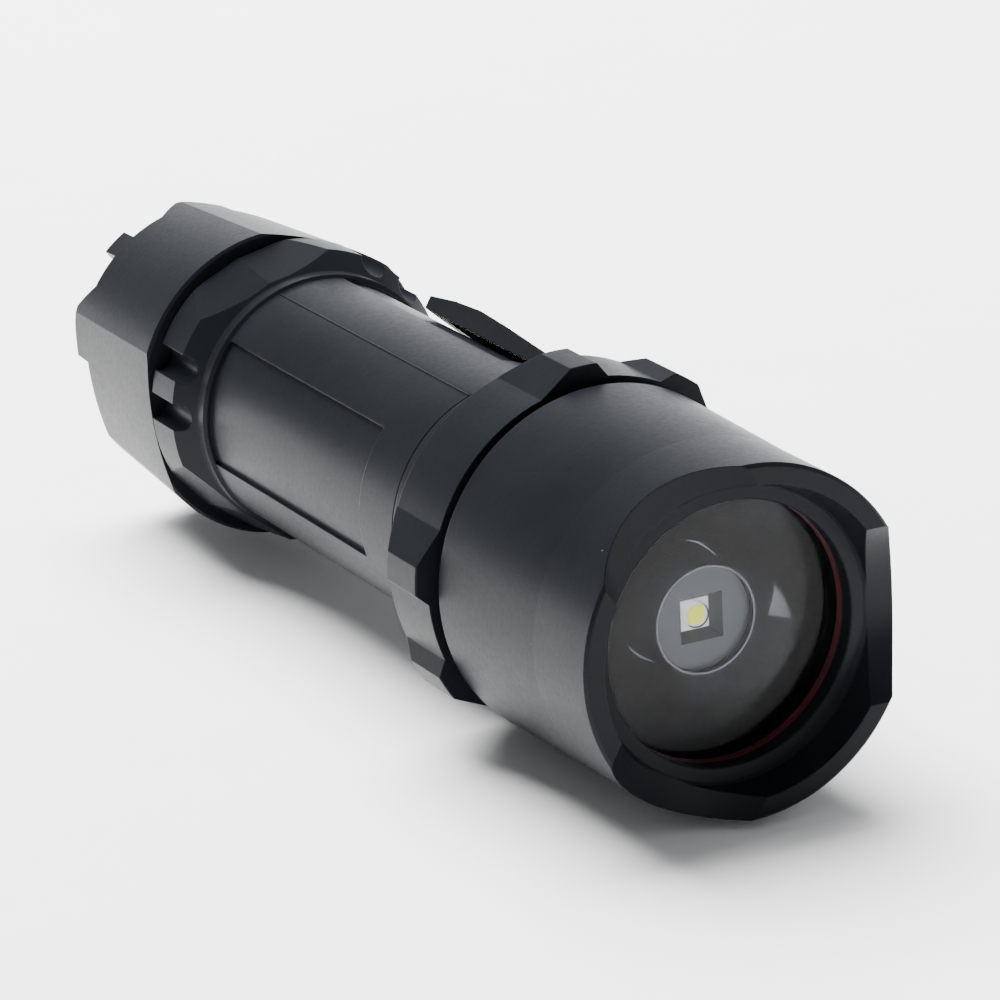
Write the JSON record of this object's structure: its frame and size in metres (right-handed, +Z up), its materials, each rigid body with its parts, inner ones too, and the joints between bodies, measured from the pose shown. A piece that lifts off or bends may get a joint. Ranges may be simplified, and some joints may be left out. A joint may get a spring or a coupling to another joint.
{
  "type": "tactical flashlight",
  "caption": "Handheld tactical flashlight: large hooded head, gripped barrel with anti-roll collars, pocket clip, screw-on tail cap with a shrouded push button.",
  "frame": {"origin": "on the light's axis, in the middle of the head's straight band, 8 mm behind the front face", "axes": "+Y along the light's axis towards the tail, so the beam leaves along -Y; +Z up; +X to the right when looking along +Y"},
  "size_m": [0.0429, 0.1402, 0.0432],
  "materials": {
    "polymer": "moulded glass-filled polymer, satin, near black with a cool cast",
    "gasket_rubber": "dark red silicone",
    "lens_glass": "clear, uncoated",
    "reflector_metal": "vacuum-metallised, smooth",
    "ring_plastic": "white heat-resistant plastic",
    "led_ceramic": "white ceramic",
    "led_phosphor": "yellow phosphor",
    "led_silicone": "clear silicone",
    "board_mask": "circuit board with solder mask",
    "bare_aluminium": "turned, bare",
    "wire_insulation": "insulated leads",
    "component_black": "moulded black",
    "brass_ring": "turned brass",
    "spring_gold": "plated spring wire",
    "seal_rubber": "black nitrile",
    "cell_steel": "nickel-plated steel",
    "cell_sleeve": "shrink sleeve, plain",
    "button_rubber": "black silicone rubber",
    "clip_steel": "spring steel, black finish"
  },
  "bodies": {
    "barrel": {"head_shell": "polymer", "lens_gasket": "gasket_rubber", "lens": "lens_glass", "reflector": "reflector_metal", "centring_ring": "ring_plastic", "led_package": "led_ceramic", "led_die": "led_phosphor", "led_dome": "led_silicone", "led_board": "board_mask", "heat_sink": "bare_aluminium", "lead_wires": "wire_insulation", "driver_board": "board_mask", "driver_parts": "component_black", "driver_ring": "brass_ring", "driver_spring": "spring_gold", "head_oring": "seal_rubber", "barrel": "polymer", "liner_tube": "bare_aluminium", "cell_can": "cell_steel", "cell_wrap": "cell_sleeve", "cell_terminal": "cell_steel", "tail_oring": "seal_rubber", "clip_band": "clip_steel"},
    "clip_arm": {"clip_arm": "clip_steel"},
    "tail_carriage": {"tail_spring": "spring_gold"},
    "tail_cap": {"tail_cap": "polymer", "switch_ring": "brass_ring", "switch_board": "board_mask", "switch_body": "component_black"},
    "button": {"button_boot": "button_rubber", "button_stem": "component_black"}
  },
  "joints": [
    {"name": "clip_flex", "type": "hinge", "parent": "barrel", "child": "clip_arm", "pos_m": [0.01142, 0.04506, 0.01286], "axis": [0.7478, 0, -0.6639], "range_deg": [0, 6], "stiffness_Nm_per_rad": 8},
    {"name": "cap_feed", "type": "slide", "parent": "barrel", "child": "tail_carriage", "axis": [0, 1, 0], "range_m": [0, 0.00901]},
    {"name": "cap_turn", "type": "hinge", "parent": "tail_carriage", "child": "tail_cap", "pos_m": [0, 0.112, 0], "axis": [0, 1, 0], "range_deg": [0, 2160]},
    {"name": "button_press", "type": "slide", "parent": "tail_cap", "child": "button", "axis": [0, -1, 0], "range_m": [0, 0.0015], "stiffness_N_per_m": 1500, "springref_m": -0.0005}
  ],
  "couplings": [
    {"joint": "cap_feed", "follows": "cap_turn", "m_per_rad": 0.00023873}
  ]
}
